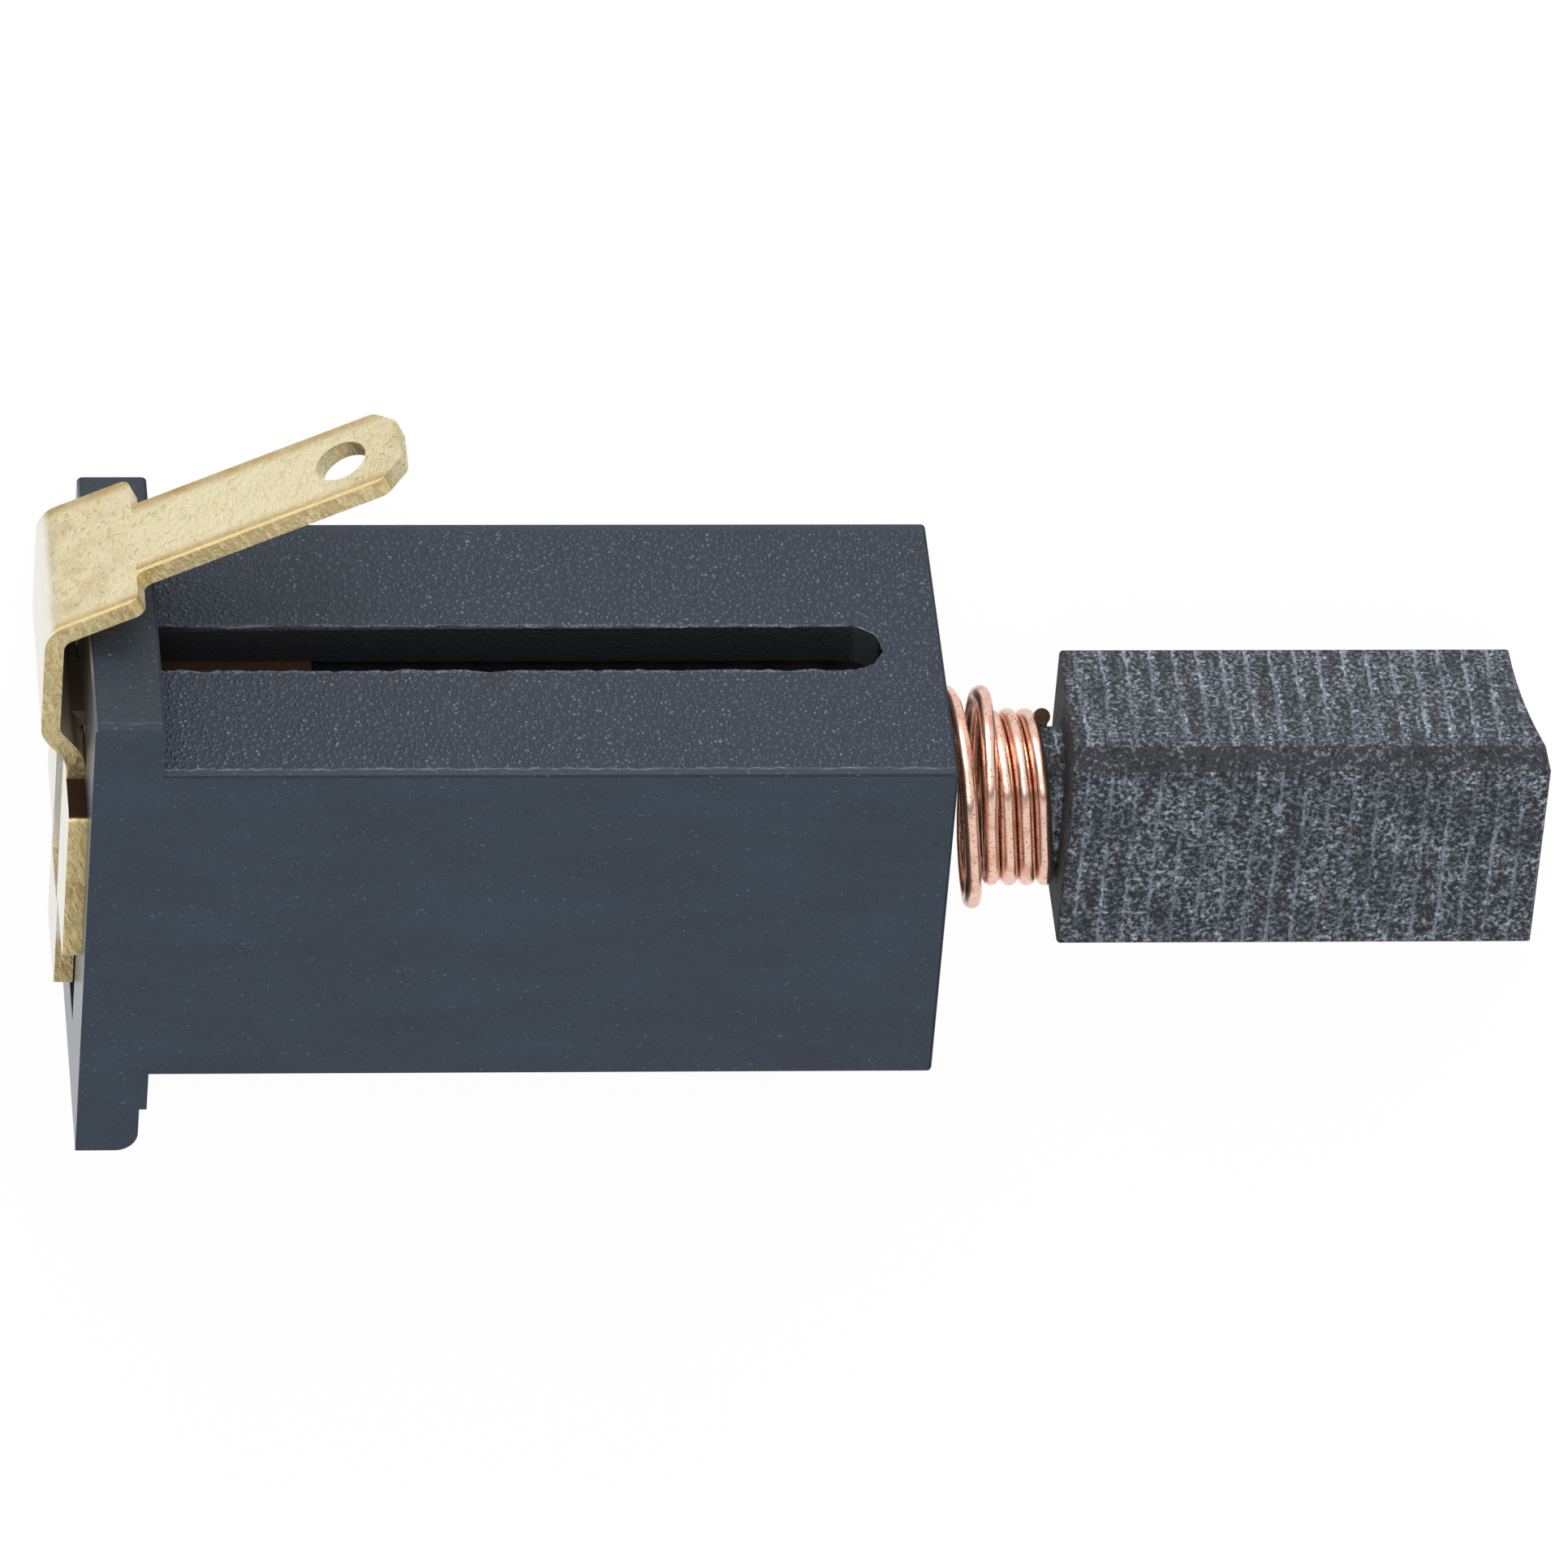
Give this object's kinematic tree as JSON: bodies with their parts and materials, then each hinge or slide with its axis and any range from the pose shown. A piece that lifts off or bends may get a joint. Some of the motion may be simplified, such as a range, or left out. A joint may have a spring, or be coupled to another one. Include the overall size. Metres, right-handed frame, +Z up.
{
  "type": "carbon brush",
  "caption": "Motor carbon brush: a graphite block on a coil spring that slides in a slotted square plastic holder, with a folded brass push-on tab on its flange.",
  "frame": {"origin": "on the side face that the holder lies on, below the brush's axis, in the plane of the flange's seat", "axes": "+X along the brush from the flange to the carbon, +Y the slotted side that the tab rises from, +Z up"},
  "size_m": [0.0403, 0.0202, 0.0104],
  "materials": {
    "holder_plastic": "moulded, spark-eroded grain",
    "terminal_brass": "stamped sheet",
    "spring_wire": "copper-plated wire",
    "carbon": "ground graphite"
  },
  "bodies": {
    "holder": {"brush_holder": "holder_plastic", "terminal_clip": "terminal_brass", "pressure_spring": "spring_wire"},
    "carbon": {"carbon_block": "carbon"}
  },
  "joints": [
    {"name": "carbon_slide", "type": "slide", "parent": "holder", "child": "carbon", "axis": [1, 0, 0], "range_m": [-0.014, 0], "stiffness_N_per_m": 250, "deforming": ["pressure_spring"]}
  ]
}
